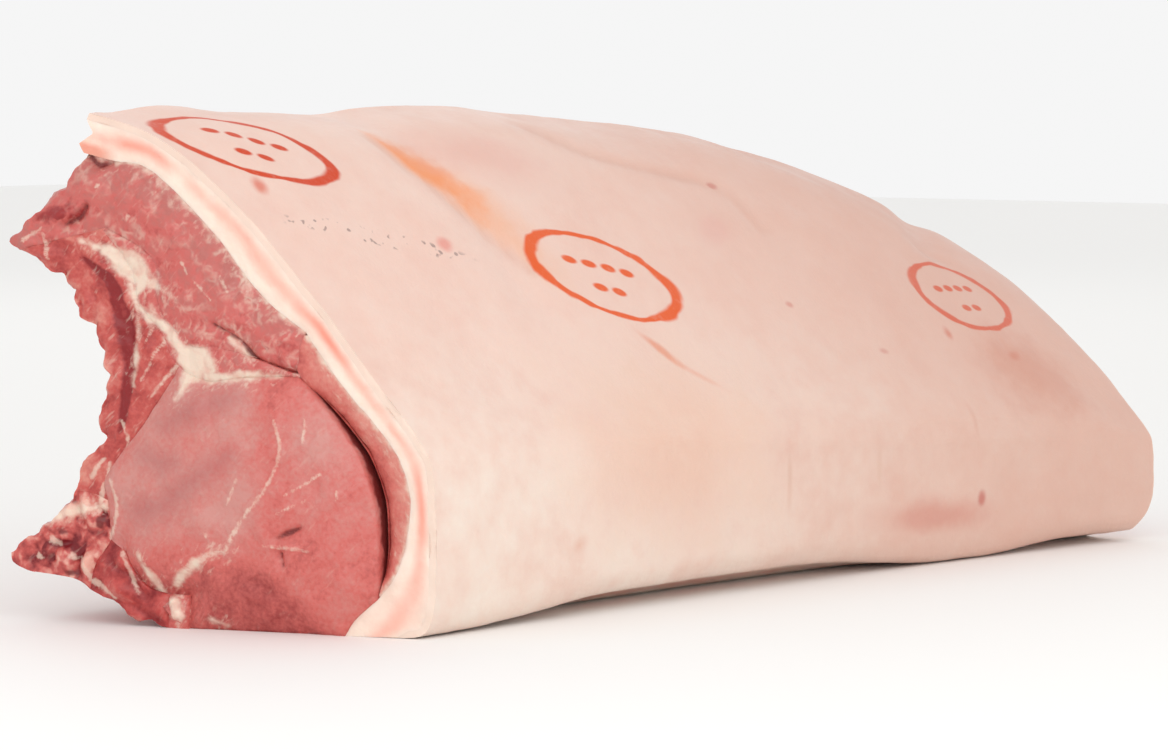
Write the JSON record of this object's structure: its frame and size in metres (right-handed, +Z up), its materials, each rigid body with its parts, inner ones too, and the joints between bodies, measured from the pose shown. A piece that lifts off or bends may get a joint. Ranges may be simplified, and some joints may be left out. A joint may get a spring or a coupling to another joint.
{
  "type": "bone-in pork loin",
  "caption": "Raw bone-in pork loin with rind, lying on its split backbone edge, with a slanted cut face that shows eye muscle, seam fat, back fat and chine bone.",
  "frame": {"origin": "middle of the footprint's bounding box, on the table", "axes": "+X along the back from the shown cut to the far cut, +Y from the rind to the rib hollow, +Z up"},
  "size_m": [0.4786, 0.1692, 0.1762],
  "materials": {
    "rind_and_fat": "raw pork rind, smooth and slightly moist, over white back fat",
    "cap_muscle": "moist dark red lean",
    "blade_muscle": "moist pink lean with a sheen",
    "seam_fat": "moist white fat",
    "rib_meat": "moist red lean, ragged at its edge",
    "loin_eye": "moist pink lean with fine marbling",
    "chine_bone": "sawn bone, red marrow and pale rim",
    "chine_meat": "moist red lean",
    "spine_tip": "pale gristle"
  },
  "bodies": {
    "root": {"rind_and_fat": "rind_and_fat", "cap_muscle": "cap_muscle", "blade_muscle": "blade_muscle", "seam_fat": "seam_fat", "rib_meat": "rib_meat", "loin_eye": "loin_eye", "chine_bone": "chine_bone", "chine_meat": "chine_meat", "spine_tip": "spine_tip"}
  },
  "joints": []
}
